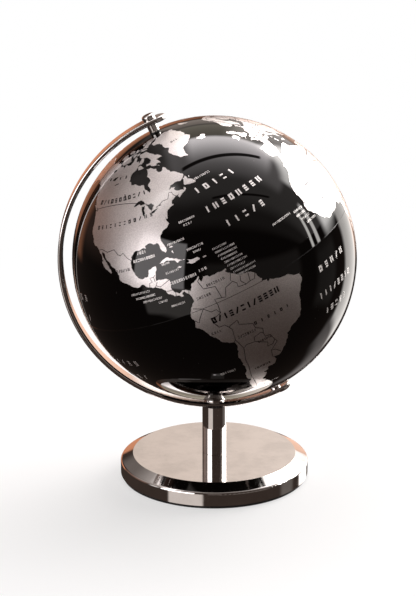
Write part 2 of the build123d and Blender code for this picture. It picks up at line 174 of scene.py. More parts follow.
    "173 -34.5, 175.5 -36.8, 178.5 -37.7, 176.9 -39.5, 175.3 -41.6, 173.8 -39.3, 174.8 -37.5",
    # Antarctica
    """-180 -78.5, -155 -77.2, -146 -75.8, -130 -74.3, -100 -74, -90 -73, -74 -73, -67.5 -72, -67 -67,
    -57.5 -63.3, -61.5 -67, -61 -74, -77 -76.5, -80 -79, -66 -80.5, -50 -81, -36 -78.8, -27 -76.2, -18 -73,
    0 -70, 25 -70.4, 34 -68.8, 47 -67.6, 57 -66.7, 68 -68, 70 -70.5, 76 -69.5, 82 -67.3, 95 -66.5,
    113 -65.9, 142 -66.8, 155 -69, 168 -71.5, 165 -75, 163 -78""",
)

LAKES = (
    "-92 46.7, -88 47.2, -87.5 46.5, -84.8 46.5, -84.8 47.5, -86.5 48.7, -88.5 48.5",
    "-87.5 41.7, -86.3 42.5, -86.4 44, -85 45.8, -87 45.7, -87.7 44, -87.8 42.5",
    "-84.5 45.9, -81 46, -79.9 44.8, -81.7 43.2, -82.5 43.1, -83.4 44.3, -83.4 45.2",
    "-83.4 41.6, -81.5 41.6, -79 42.7, -80.5 42.7, -82.8 42.2",
    "-79.7 43.3, -76.3 43.5, -76.5 44.1, -79 43.8", "-98.5 53.8, -97 50.5, -96.5 51, -97.5 53.5",
    "-116.5 61.2, -113 61, -109.5 62.7, -114 62.3", "-124.5 66, -121 65, -118 66, -122 66.9",
    "-111 58.7, -106 59.2, -106.5 59.5",
    "28 43.5, 30.7 46.3, 33.5 45, 36.5 45.4, 38.5 47, 37.5 45, 41.5 42, 35 42, 31.3 41.2, 28.2 41.5",
    "47 45, 51 47, 53 46.5, 51.3 44.6, 52.7 42.5, 53.8 39, 53.8 37, 50.2 37.4, 49.3 41, 47.5 43",
    "58.5 45.5, 61 46.5, 61 44, 58.8 43.8", "104 51.6, 108 53.6, 109.7 55.5, 109 53.6, 106 51.9",
    "31.8 -0.5, 34 0.3, 34 -1.5, 32.5 -2.5", "30.5 60.8, 32.5 60.5, 31 61.6",
)

BORDERS = (
    # North and Central America
    """-122.8 49, -95.2 49, -89.6 48, -88.4 48.3, -84.9 46.8, -83.5 46, -82.4 43, -82.5 42.3, -79 42.8,
    -79.1 43.4, -76.5 44.2, -74.7 45, -71.5 45, -69.2 47.4, -67.8 47.1, -67.8 45.7, -67 44.9""",
    "-141 69.6, -141 60.3, -137 59, -134 58.8, -130 55.5",
    """-117.1 32.5, -114.7 32.7, -111 31.3, -106.5 31.8, -104.5 29.6, -103 29, -101.5 29.8, -99.5 27.5,
    -97.3 25.9""",
    "-92.2 14.5, -91.7 16, -90.4 16.1, -91 17.8, -89.2 17.8, -88.3 18.4", "-89.2 17.8, -89.2 15.9",
    "-88.3 15.7, -89.3 14.4, -90.1 13.8", "-89.3 14.4, -87.8 13.5, -86.7 13.8, -83.2 15",
    "-85.7 11.1, -83.7 10.9", "-82.9 8.2, -82.6 9.6", "-77.4 8.7, -77.9 7.3",
    # South America
    """-71.4 11.9, -72.9 10.5, -72 7.1, -67.5 6.2, -67 1.2, -65.5 0.8, -64.2 4.1, -60.7 5.2, -61.3 5.9,
    -60 8.5""",
    "-60.7 5.2, -59.5 3.9, -59.7 2.3, -56.5 1.9, -54.6 2.3, -52.7 2.3, -51.6 4.2",
    "-57.2 5.9, -57.9 4, -56.5 1.9", "-54 5.8, -54.6 2.3", "-67 1.2, -69.8 1.7, -69.5 -1, -69.9 -4.2",
    "-69.9 -4.2, -70.8 -2.3, -73 -2.4, -75.3 -0.1, -78.9 1.4",
    "-75.3 -0.1, -78.3 -3.5, -79 -4.9, -80.3 -3.4",
    """-69.9 -4.2, -73.1 -5.2, -73.9 -7.3, -72.8 -9.5, -70.6 -9.5, -69.5 -11, -68.7 -12.6, -69.5 -17.5,
    -70.4 -18.3""",
    "-69.5 -17.5, -68 -22.8, -66.3 -21.8, -62.7 -22.1, -62.2 -20, -59 -19.3, -58.1 -20.1",
    "-69.5 -11, -65.4 -9.7, -65.4 -11.8, -60.4 -14, -60.2 -16.2, -57.6 -18, -58.1 -20.1",
    "-58.1 -20.1, -57.9 -22, -55.7 -22.3, -54.6 -25.6, -56 -27.3, -58.5 -27.2, -57.7 -25.3, -62.7 -22.1",
    "-54.6 -25.6, -53.8 -27, -57.6 -30.2, -55.6 -30.9, -53.4 -33.6", "-57.6 -30.2, -58.2 -33.9",
    "-68 -22.8, -69.8 -29, -70 -33, -71.5 -39.5, -71.8 -44, -72.3 -48, -73.2 -50.5, -72 -52, -68.4 -52.3",
    # Europe
    "-8.8 41.9, -6.5 41.6, -7.4 37.3", "-1.8 43.4, 3.1 42.4",
    "2.5 51, 6.2 49.5, 8.2 49, 7.5 47.6, 6 46.3, 7.5 43.8",
    "7.5 47.6, 13 47.5, 12.2 50.3, 14.9 51, 14.3 53.9",
    "13.7 45.6, 16.5 46.5, 17 48.8, 22.2 48.5, 29.6 45.4",
    "14.9 51, 19 49.4, 22.7 49.5, 23.6 52, 22.8 54.4", "23.6 52, 31 52, 34 51.5, 40 49.5, 38.3 47.1",
    "11.3 59, 12.5 62, 14 65, 20.5 69, 28.8 69, 31.6 62.8, 28 60.6", "28.2 59.4, 28 56, 31 54.5, 31 52",
    # Asia
    """49 46, 47 50, 55 51, 61 51, 62 54, 70 55, 78 53.5, 87 49.2, 98 52, 106 50.3, 116 49.8, 121 53.3,
    130 48.5, 131 43""",
    "87 49.2, 92 45, 97 42.7, 105 41.6, 112 43.5, 119 46.7, 116 49.8",
    "87 49.2, 80 45, 80 42, 74 39.5, 74.5 37",
    "74.5 37, 79 32.5, 81 30.2, 88 28, 97 28.2, 98.5 24, 101 21.5, 108 21.6",
    "68 23.8, 71 28, 75 32.3, 74.5 37", "61.6 25.2, 63 27.2, 60.9 30, 61 35.6, 66.5 37.4, 74.5 37",
    "54 37.4, 61 36.6", "48.8 38.4, 44.8 39.7, 44.3 37, 48 30", "36.2 36.8, 44.3 37",
    "34.9 29.5, 39 32, 47 29.1", "97.6 16.5, 98.5 20, 101 21.5", "102.5 12.2, 105.5 14.5, 101 21.5",
    "141 -2.6, 141 -9.1",
    # Africa
    "-2 35.1, -1.2 32.3, -8.7 28.8, -8.7 27.4, -4.8 25, 4 19.2, 11.9 23.5, 9.5 30, 8.3 36.8",
    "11.9 23.5, 24 19.5, 25 31.6", "24.9 22, 36.8 22", "-8.7 27.4, -12 26, -13 21.3, -17 21",
    "-4.8 25, -5.5 15.5, -12 14.8, -16.5 16", "4 19.2, 4 15, -5.5 12, -11.5 12.4, -15 10.9",
    "4 15, 3.6 11.7, 2.7 6.4", "3.6 11.7, 13.6 13.7, 15.5 17, 15 23", "14 13, 8.6 4.8",
    "24 19.5, 22 11, 15.5 7.5, 18.5 4.3, 27.4 5, 34 4.2, 41.9 3.9, 41 -1.7", "41.9 3.9, 48 8, 42.7 11",
    "18.5 4.3, 16 -2, 12.3 -5.8",
    "34 4.2, 29.6 0.5, 29.5 -4.5, 30.8 -8.3, 28.5 -12, 22 -11, 17 -8, 12.3 -6", "34 -1, 39.2 -4.7",
    "30.8 -8.3, 34.5 -11.6, 40.4 -10.5", "22 -11, 22 -16.2, 25.3 -17.8, 30.4 -15.6, 32.9 -16.7, 31.3 -22.4",
    "11.8 -17.3, 25.3 -17.8, 29.4 -22.2, 31.3 -22.4, 32 -26.8", "20 -22, 20 -28.4, 16.5 -28.6",
    "20 -24.8, 26 -24.7, 29.4 -22.2", "36 36, 37 18.5, 42.7 12.5",
)

# Name rows: start and end along a parallel, height of the marks in mm, and for the widely
# spaced rows how many marks there are
SEA_ROWS = (
    (-57.3, -33.7, 41.7, 4.4, 5), (-57.6, -26, 32.8, 4.4, 8), (-52.6, -33.1, 24.4, 4.4, 5),
    (-25.5, -8.4, -10.4, 4.4, 5), (-28.9, -5, -21, 4.4, 8), (-26.1, -10, -29.5, 4.4, 5),
    (-58, -53.5, 50, 1.5), (-57.5, -43, 47.6, 1.5), (-71.2, -63.4, 33.6, 1.4), (-69.5, -65.5, 31.9, 1.4),
    (-94, -89.6, 27.6, 1.9), (-96.6, -86, 25, 1.9), (-79.4, -71.4, 27.2, 1.4), (-72.1, -64.9, 22.7, 1.4),
    (-70, -66.5, 21, 1.3), (-84.2, -80.8, 20.8, 1.3), (-83.7, -77.9, 17.2, 1.3), (-84.6, -72.1, 12.9, 1.9),
    (-70.9, -67.6, 13.6, 1.7), (-101.7, -92.7, 12.9, 1.3), (-100, -90.9, 11, 1.3), (-97.2, -88.6, 9.2, 1.3),
    (-90.9, -86.9, 7.5, 1.3), (-86.3, -80.5, 4.7, 1.3), (-83.7, -76, -32.6, 1.8), (-35.9, -25.8, 15.9, 1.4),
    (-24.1, -18.8, 15.1, 1.3), (-24, -18.6, 13.2, 1.3), (-23, -17.6, 11.2, 1.3), (-21, -15, 9, 1.3),
    (62, 92, -5, 4.4, 6), (66, 88, -14, 4.4, 5), (-165, -132, 12, 4.4, 7), (-160, -135, 3, 4.4, 5),
    (-150, -118, -18, 4.4, 7), (-145, -122, -27, 4.4, 5), (148, 172, 28, 4.4, 5), (150, 170, 19, 4.4, 5),
    (-40, 0, -62, 3.4, 8), (60, 100, -58, 3.4, 8),
)
LAND_ROWS = (
    (-121, -84, 61.2, 2.3, 6), (-121.2, -78.5, 50.8, 3.2, 12), (-119.3, -82.5, 40.6, 2.6, 12),
    (-106.7, -99.4, 22.6, 2), (-70.5, -63, 7.3, 1.7), (-76, -70.2, 3.9, 1.7), (-74.3, -45.8, -7.2, 4.3, 12),
    (-59.9, -44.4, -15, 2.4, 6), (-76.8, -72.8, -11.6, 1.8), (-68.2, -60.3, -17.6, 1.9),
    (-61.6, -55.4, -23.6, 1.6), (-68.4, -60, -37, 2), (3, 30, 22, 3, 6), (14, 36, 2, 3.4, 6),
    (12, 34, -12, 3, 6), (75, 98, 33, 3, 5), (85, 125, 62, 3.4, 6), (100, 128, 31, 3, 5),
    (20, 45, 56, 2.6, 6), (120, 146, -25, 3.4, 7), (-30, 30, -82, 3, 8), (-45, -36, 72, 1.8),
    (-2, 10, 45, 1.8), (78, 86, 22, 2), (-9, 1, 32, 1.4), (-3, 8, 27, 1.7), (-12, -5, 20, 1.5),
    (-8, 0, 16.5, 1.5), (3, 10, 16, 1.5), (-6, 2, 11.5, 1.3), (14, 24, 26, 1.6), (-6, -1, 40, 1.4),
    (-2, 4, 47.5, 1.3),
)
# Island names stacked off the West Indies: the first row's west end, east end and parallel, what
# each further row adds to them, and how far an east end strays either way
ISLAND_ROWS = 9
ISLAND_FIRST = (-62.5, -55, 19)
ISLAND_STEP = (0.5, 0.6, -1.6)
ISLAND_STRAY = 2.5
ISLAND_HEIGHT = 1.2

# ---- camera --------------------------------------------------------------------------

VIEW_TURN = radians(2.04)
VIEW_DROP = radians(17.76)
VIEW_DISTANCE = 1.5
LENS_MM = 128.75
SENSOR_MM = 36
AIM_LEFT = 4.5 * MM
AIM_BELOW = 28.1 * MM


def make_camera():
    """A long lens in front of the ball, a little above it, aimed just below its centre."""
    ahead = Vector((sin(VIEW_TURN) * cos(VIEW_DROP), cos(VIEW_TURN) * cos(VIEW_DROP), -sin(VIEW_DROP)))
    right = Vector((cos(VIEW_TURN), -sin(VIEW_TURN), 0))
    up = right.cross(ahead)
    aim = BALL_CENTRE - right * AIM_LEFT - up * AIM_BELOW
    data = bpy.data.cameras.new("camera")
    data.lens = LENS_MM
    data.sensor_width = SENSOR_MM
    data.clip_start = 0.05
    data.clip_end = 50
    camera = bpy.data.objects.new("camera", data)
    camera.location = aim - ahead * VIEW_DISTANCE
    camera.rotation_euler = ahead.to_track_quat("-Z", "Y").to_euler()
    bpy.context.collection.objects.link(camera)
    bpy.context.scene.camera = camera


# ---- node helpers ----------------------------------------------------------------------

def plug(tree, socket, value):
    """Links a socket to another node's output, or sets its own value."""
    if isinstance(value, bpy.types.NodeSocket):
        tree.links.new(value, socket)
    else:
        socket.default_value = value


def calc(tree, operation, *values):
    """A Math node's result."""
    node = tree.nodes.new("ShaderNodeMath")
    node.operation = operation
    for socket, value in zip(node.inputs, values):
        plug(tree, socket, value)
    return node.outputs[0]


def fade(tree, value, start, end, low=0.0, high=1.0):
    """A smooth step of value from low at start to high at end."""
    node = tree.nodes.new("ShaderNodeMapRange")
    node.interpolation_type = "SMOOTHSTEP"
    plug(tree, node.inputs["Value"], value)
    node.inputs["From Min"].default_value = start
    node.inputs["From Max"].default_value = end
    node.inputs["To Min"].default_value = low
    node.inputs["To Max"].default_value = high
    return node.outputs[0]


def noise(tree, where, scale, detail=2.0, roughness=0.5):
    """A noise texture's factor at the given coordinates."""
    node = tree.nodes.new("ShaderNodeTexNoise")
    plug(tree, node.inputs["Vector"], where)
    node.inputs["Scale"].default_value = scale
    node.inputs["Detail"].default_value = detail
    node.inputs["Roughness"].default_value = roughness
    return node.outputs["Fac"]


def own_coordinates(tree):
    """A point's place in the object's own metres."""
    return tree.nodes.new("ShaderNodeTexCoord").outputs["Object"]


def bump(tree, height, distance, strength=1.0):
    """A normal bent by a height from 0 to 1, over a distance in metres."""
    node = tree.nodes.new("ShaderNodeBump")
    node.inputs["Strength"].default_value = strength
    node.inputs["Distance"].default_value = distance
    plug(tree, node.inputs["Height"], height)
    return node.outputs[0]


def blend_colors(tree, factor, first, second):
    """A mix of two colors, the first where the factor is 0."""
    node = tree.nodes.new("ShaderNodeMix")
    node.data_type = "RGBA"
    plug(tree, node.inputs["Factor"], factor)
    node.inputs["A"].default_value = (*first, 1)
    node.inputs["B"].default_value = (*second, 1)
    return node.outputs["Result"]


def new_material(name, **values):
    """A Principled material with the given socket values; returns it, its tree and its shader."""
    material = bpy.data.materials.new(name)
    material.use_nodes = True
    tree = material.node_tree
    shader = tree.nodes["Principled BSDF"]
    for key, value in values.items():
        shader.inputs[key.replace("_", " ")].default_value = value
    return material, tree, shader


# ---- surroundings ----------------------------------------------------------------------

class Surroundings:
    """The world as a sum of soft-edged patches of light, by azimuth and elevation in degrees.

    Azimuth 0 is the side of the camera (-Y), 90 is +X and 180 is behind the globe. The ceiling
    lies one unit above the globe, and places on it are to the right and to the back.
    """

    LOWEST_CEILING = 0.02
    SLAT_SOFT_ENDS = 0.03
    SLAT_SOFT_EDGES = 0.012
    SLAT_LIGHT_LEFT = 0.02

    def __init__(self, tree):
        self.tree = tree
        self.total = (0.0, 0.0, 0.0)
        split = tree.nodes.new("ShaderNodeSeparateXYZ")
        tree.links.new(tree.nodes.new("ShaderNodeTexCoord").outputs["Generated"], split.inputs[0])
        self.x, self.y, self.z = split.outputs
        around = calc(tree, "ARCTAN2", self.x, calc(tree, "MULTIPLY", self.y, -1.0))
        self.azimuth = calc(tree, "DEGREES", around)
        self.elevation = calc(tree, "DEGREES", calc(tree, "ARCSINE", self.z))

    def add(self, color, mask):
        """Adds light of a color where the mask is 1."""
        node = self.tree.nodes.new("ShaderNodeVectorMath")
        node.operation = "MULTIPLY_ADD"
        plug(self.tree, node.inputs[0], mask)
        node.inputs[1].default_value = color
        plug(self.tree, node.inputs[2], self.total)
        self.total = node.outputs[0]

    def between(self, value, low, high, soft, soft_high=None):
        """1 from low to high and 0 outside, fading over soft each side of both ends."""
        rise = fade(self.tree, value, low - soft, low + soft)
        soft_end = soft if soft_high is None else soft_high
        fall = fade(self.tree, value, high + soft_end, high - soft_end)
        return calc(self.tree, "MULTIPLY", rise, fall)

    def patch(self, color, middle, half_width, low, high, soft=3.0, soft_side=None):
        """A patch of light centred on one azimuth, from one elevation to another."""
        tree = self.tree
        side = soft if soft_side is None else soft_side
        turn = calc(tree, "WRAP", calc(tree, "SUBTRACT", self.azimuth, middle), 180.0, -180.0)
        across = fade(tree, calc(tree, "ABSOLUTE", turn), half_width + side, half_width - side)
        self.add(color, calc(tree, "MULTIPLY", across, self.between(self.elevation, low, high, soft)))

    def overhead(self):
        """Where on the ceiling a direction points: how far right and how far back."""
        height = calc(self.tree, "MAXIMUM", self.z, self.LOWEST_CEILING)
        return calc(self.tree, "DIVIDE", self.x, height), calc(self.tree, "DIVIDE", self.y, height)

    def ceiling(self, color, left, right, front, back, soft, soft_rest=None):
        """A rectangle of light on the ceiling; soft_rest is for its sides and its back edge."""
        rest = soft if soft_rest is None else soft_rest
        across, along = self.overhead()
        mask = calc(self.tree, "MULTIPLY", self.between(across, left, right, rest),
                    self.between(along, front, back, soft, rest))
        self.add(color, mask)

    def slat(self, along, half_width, left, right, slant):
        """A narrow dark bar across the ceiling, which runs back by slant for each unit right."""
        tree = self.tree
        across, back = self.overhead()
        square = calc(tree, "SUBTRACT", back, calc(tree, "MULTIPLY", across, slant))
        front, far = along - half_width, along + half_width
        mask = calc(tree, "MULTIPLY", self.between(across, left, right, self.SLAT_SOFT_ENDS),
                    self.between(square, front, far, self.SLAT_SOFT_EDGES))
        node = tree.nodes.new("ShaderNodeVectorMath")
        node.operation = "SCALE"
        tree.links.new(self.total, node.inputs[0])
        tree.links.new(fade(tree, mask, 0.0, 1.0, 1.0, self.SLAT_LIGHT_LEFT), node.inputs["Scale"])
        self.total = node.outputs[0]


def make_world():
    """Soft studio light: bright to the right and overhead, a card front left, warm behind."""
    world = bpy.data.worlds.new("studio")
    bpy.context.scene.world = world
    world.use_nodes = True
    tree = world.node_tree
    room = Surroundings(tree)
    # overhead: dim above the camera, ever brighter past the zenith, with two dark slats
    room.ceiling((0.11, 0.10, 0.095), -1.2, 4.0, -1.1, 6.0, 0.25)
    room.ceiling((0.30, 0.28, 0.27), -0.62, 4.0, -0.5, 2.0, 0.2)
    room.ceiling((0.85, 0.79, 0.80), -0.50, 0.95, -0.02, 0.86, 0.12, 0.08)
    room.ceiling((5.7, 5.35, 5.4), -0.26, 0.66, 0.40, 0.88, 0.36, 0.07)
    room.slat(0.262, 0.036, -0.36, 0.52, 0.40)
    room.slat(-0.456, 0.022, -0.05, 0.80, 0.27)
    # card to the front left, dimmer below
    room.patch((2.75, 2.6, 2.62), -47, 21, -9, 26, 1.0)
    room.patch((0.62, 0.57, 0.54), -38, 22, -30, -9, 2.0)
    # weak fill from the front right, about level with the globe
    room.patch((0.12, 0.107, 0.10), 30, 40, -11, 12, 3.0)
    # strips to the left of the card
    room.patch((2.8, 2.7, 2.67), -74, 8, 42, 62, 4.0)
    room.patch((0.75, 0.71, 0.70), -78, 6, -6, 18, 4.0)
    # bright side to the right: a wide window, two narrow strips beside it, dimmer light below
    room.patch((7.5, 7.3, 7.1), 127, 22, 9, 46, 4.0)
    room.patch((8.0, 7.8, 7.4), 86, 1.3, 8, 30, 2.0, 0.6)
    room.patch((7.0, 6.8, 6.5), 93.5, 1.8, 8, 32, 2.0, 0.6)
    room.patch((0.10, 0.095, 0.09), 99, 11, -26, 4, 4.0)
    room.patch((2.3, 2.2, 2.1), 141, 14, -31, 9, 2.5, 3.0)
    room.patch((0.4, 0.37, 0.36), 143, 20, -42, -31, 4.0)
    # behind: pale to the right, beige and olive in the middle, copper low down on both sides
    room.patch((1.25, 1.15, 1.1), 150, 20, 9, 50, 3.0, 5.0)
    room.patch((1.0, 0.64, 0.48), 163, 12, -14, 8, 3.0)
    room.patch((0.55, 0.46, 0.40), 181, 10, 11, 25, 2.0)
    room.patch((0.30, 0.29, 0.28), 168, 8, 11, 25, 2.0, 7.0)
    room.patch((0.34, 0.30, 0.19), 178, 22, 27, 48, 2.0)
    room.patch((0.62, 0.25, 0.13), -158, 22, -12, 7.5, 2.0, 5.0)
    # left side: soft pinkish grey
    room.patch((0.26, 0.23, 0.22), -92, 34, 22, 62, 10.0)
    room.patch((0.15, 0.085, 0.065), -112, 22, -4, 22, 6.0)
    # a little light everywhere
    room.patch((0.042, 0.030, 0.025), 0, 181, -91, 91, 1.0)
    # the camera itself sees plain white
    seen = tree.nodes["Background"]
    tree.links.new(room.total, seen.inputs["Color"])
    white = tree.nodes.new("ShaderNodeBackground")
    white.inputs["Color"].default_value = (1.0, 1.0, 1.0, 1)
    pick = tree.nodes.new("ShaderNodeMixShader")
    tree.links.new(tree.nodes.new("ShaderNodeLightPath").outputs["Is Camera Ray"], pick.inputs[0])
    tree.links.new(seen.outputs[0], pick.inputs[1])
    tree.links.new(white.outputs[0], pick.inputs[2])
    tree.links.new(pick.outputs[0], tree.nodes["World Output"].inputs["Surface"])
    bpy.context.scene.view_settings.view_transform = "Standard"


FLOOR_RADIUS = 3.0
FLOOR_DEPTH = 0.2 * MM


def make_floor():
    """A pale floor, whiter away from the stand, that the gloss doesn't reflect."""
    bpy.ops.mesh.primitive_circle_add(
        vertices=96, radius=FLOOR_RADIUS, fill_type="NGON", location=(0, 0, -FLOOR_DEPTH))
    floor = bpy.context.object
    floor.name = "floor"
    material, tree, shader = new_material("floor", Base_Color=(0.8, 0.8, 0.8, 1), Roughness=0.9)
    shader.inputs["Specular IOR Level"].default_value = 0.0
    glow = tree.nodes.new("ShaderNodeEmission")
    glow.inputs["Color"].default_value = (1.0, 1.0, 1.0, 1)
    length = tree.nodes.new("ShaderNodeVectorMath")
    length.operation = "LENGTH"
    tree.links.new(own_coordinates(tree), length.inputs[0])
    mix = tree.nodes.new("ShaderNodeMixShader")
    tree.links.new(fade(tree, length.outputs["Value"], 0.05, 0.6, 0.6, 1.0), mix.inputs[0])
    tree.links.new(shader.outputs[0], mix.inputs[1])
    tree.links.new(glow.outputs[0], mix.inputs[2])
    tree.links.new(mix.outputs[0], tree.nodes["Material Output"].inputs["Surface"])
    floor.data.materials.append(material)
    floor.visible_glossy = False
    floor.visible_diffuse = False


# ---- materials -------------------------------------------------------------------------

def gloss_black():
    """Black lacquer under a clear coat: a faint ripple, hazy smears and a trace of dust."""
    material, tree, shader = new_material(
        "gloss_black", Roughness=0.4, Specular_IOR_Level=0.0, Coat_Weight=1.0, Coat_IOR=1.5)
    where = own_coordinates(tree)
    cells = tree.nodes.new("ShaderNodeTexVoronoi")
    cells.inputs["Scale"].default_value = 260
    tree.links.new(where, cells.inputs["Vector"])
    dusty = fade(tree, noise(tree, where, 34, 3), 0.56, 0.7)
    specks = calc(tree, "MULTIPLY", fade(tree, cells.outputs["Distance"], 0.07, 0.04), dusty)
    color = blend_colors(tree, specks, (0.0008, 0.0007, 0.0008), (0.22, 0.21, 0.2))
    tree.links.new(color, shader.inputs["Base Color"])
    smear = fade(tree, noise(tree, where, 22, 4, 0.6), 0.45, 0.75, 0.004, 0.022)
    tree.links.new(smear, shader.inputs["Coat Roughness"])
    tree.links.new(bump(tree, noise(tree, where, 70, 1), 0.02 * MM, 0.2), shader.inputs["Coat Normal"])
    return material


def foil_silver(name, dark, light, smooth):
    """Satin silver print with a fine sandblasted grain, under the same clear coat."""
    material, tree, shader = new_material(
        name, Metallic=1.0, Coat_Weight=1.0, Coat_Roughness=0.02, Coat_IOR=1.45)
    where = own_coordinates(tree)
    grain = noise(tree, where, 1300, 2, 0.7)
    cloud = noise(tree, where, 30, 3)
    color = blend_colors(tree, fade(tree, grain, 0.3, 0.7), dark, light)
    tree.links.new(color, shader.inputs["Base Color"])
    rough = calc(tree, "ADD", fade(tree, grain, 0.3, 0.7, smooth, smooth + 0.1),
                 fade(tree, cloud, 0.35, 0.7, 0.0, 0.05))
    tree.links.new(rough, shader.inputs["Roughness"])
    tree.links.new(bump(tree, grain, 0.05 * MM, 0.5), shader.inputs["Normal"])
    return material


def plated_metal(name, color, smooth, worn, brushing=0.0):
    """Polished metal with hazy smears, a fine grain and, on the base, fine circular brushing."""
    material, tree, shader = new_material(name, Metallic=1.0)
    where = own_coordinates(tree)
    smear = noise(tree, where, 45, 4, 0.62)
    fine = noise(tree, where, 900, 2)
    tint = blend_colors(tree, fade(tree, smear, 0.35, 0.7), color, tuple(c * 0.88 for c in color))
    tree.links.new(tint, shader.inputs["Base Color"])
    rough = calc(tree, "ADD", fade(tree, smear, 0.4, 0.72, smooth, worn),
                 fade(tree, fine, 0.5, 0.75, 0.0, 0.05))
    tree.links.new(rough, shader.inputs["Roughness"])
    if brushing:
        split = tree.nodes.new("ShaderNodeSeparateXYZ")
        tree.links.new(where, split.inputs[0])
        squares = [calc(tree, "MULTIPLY", part, part) for part in split.outputs[:2]]
        reach = calc(tree, "SQRT", calc(tree, "ADD", *squares))
        rings = tree.nodes.new("ShaderNodeCombineXYZ")
        tree.links.new(reach, rings.inputs[0])
        tree.links.new(calc(tree, "MULTIPLY", smear, 0.02), rings.inputs[1])
        fine = noise(tree, rings.outputs[0], 2600, 3, 0.7)
    tree.links.new(bump(tree, fine, 0.01 * MM, 0.25 + brushing), shader.inputs["Normal"])
    return material


def black_nylon():
    """Moulded plastic with a fine texture."""
    material, tree, shader = new_material("black_nylon", Base_Color=(0.03, 0.029, 0.028, 1))
    where = own_coordinates(tree)
    rough = fade(tree, noise(tree, where, 400, 3), 0.3, 0.7, 0.38, 0.6)
    tree.links.new(rough, shader.inputs["Roughness"])
    tree.links.new(bump(tree, noise(tree, where, 1500, 2), 0.03 * MM, 0.4), shader.inputs["Normal"])
    return material


def cast_iron():
    """Dark rough cast metal."""
    material, tree, shader = new_material("cast_iron", Metallic=0.7)
    where = own_coordinates(tree)
    pits = noise(tree, where, 260, 5, 0.65)
    color = blend_colors(tree, fade(tree, pits, 0.3, 0.7), (0.05, 0.045, 0.042), (0.14, 0.13, 0.125))
    tree.links.new(color, shader.inputs["Base Color"])
    tree.links.new(fade(tree, pits, 0.3, 0.7, 0.75, 0.5), shader.inputs["Roughness"])
    tree.links.new(bump(tree, pits, 0.3 * MM, 0.6), shader.inputs["Normal"])
    return material


def black_felt():
    """Matted black fibres with a soft sheen."""
    material, tree, shader = new_material(
        "black_felt", Roughness=0.95, Sheen_Weight=0.25, Sheen_Roughness=0.5)
    where = own_coordinates(tree)
    fibres = noise(tree, where, 2200, 4, 0.75)
    share = fade(tree, fibres, 0.35, 0.65)
    color = blend_colors(tree, share, (0.008, 0.008, 0.008), (0.03, 0.029, 0.028))
    tree.links.new(color, shader.inputs["Base Color"])
    tree.links.new(bump(tree, fibres, 0.25 * MM, 0.8), shader.inputs["Normal"])
    return material


# ---- map geometry ----------------------------------------------------------------------

# Square to the axis: EAST to the right of the camera's view, FACING towards the camera
EAST = Vector((0, -1, 0)).cross(NORTH).normalized() * -1
FACING = NORTH.cross(EAST) * -1
# How far east of the camera's side the map's zero meridian lies
GREENWICH = radians(68.2)
# The facing far north is turned a little to the west, more and more over these parallels
WEST_TURN = radians(6)
WEST_TURN_START = 42
WEST_TURN_SPAN = 22
# Distances on the ball, in radians: the mesh's cells and the shortest stretch of coast that bends
MESH_STEP = 0.03
COAST_STEP = 0.012
# The share of a step that a line may be too long by before it gets one step more
STEP_SLACK = 0.001
# How near to the outline a sheet's inner points come, in cells
INNER_GAP = 0.45


def on_globe(longitude, latitude):
    """The direction from the ball's centre to a place on the map."""
    turn = radians(longitude) + GREENWICH
    tilt = radians(latitude)
    share = min(1, max(0, (latitude - WEST_TURN_START) / WEST_TURN_SPAN))
    turn -= WEST_TURN * share * max(0, cos(turn))
    return NORTH * sin(tilt) + (FACING * cos(turn) + EAST * sin(turn)) * cos(tilt)


def places(text):
    """The directions of a text's places, longitude and latitude, with commas between them."""
    return [on_globe(*map(float, pair.split())) for pair in text.split(",")]


def ragged(start, end, rough, dice):
    """The points from start up to end, each long step bent aside at its middle."""
    step = (end - start).length
    if step < COAST_STEP:
        return [start]
    aside = start.cross(end).normalized() * step * rough * dice.uniform(-1, 1)
    middle = (start + end + aside * 2).normalized()
    return ragged(start, middle, rough, dice) + ragged(middle, end, rough, dice)


def evenly(start, end):
    """Points from start up to end along the great circle, a mesh step apart at most."""
    count = max(1, ceil((end - start).length / MESH_STEP - STEP_SLACK))
    return [start.lerp(end, i / count).normalized() for i in range(count)]


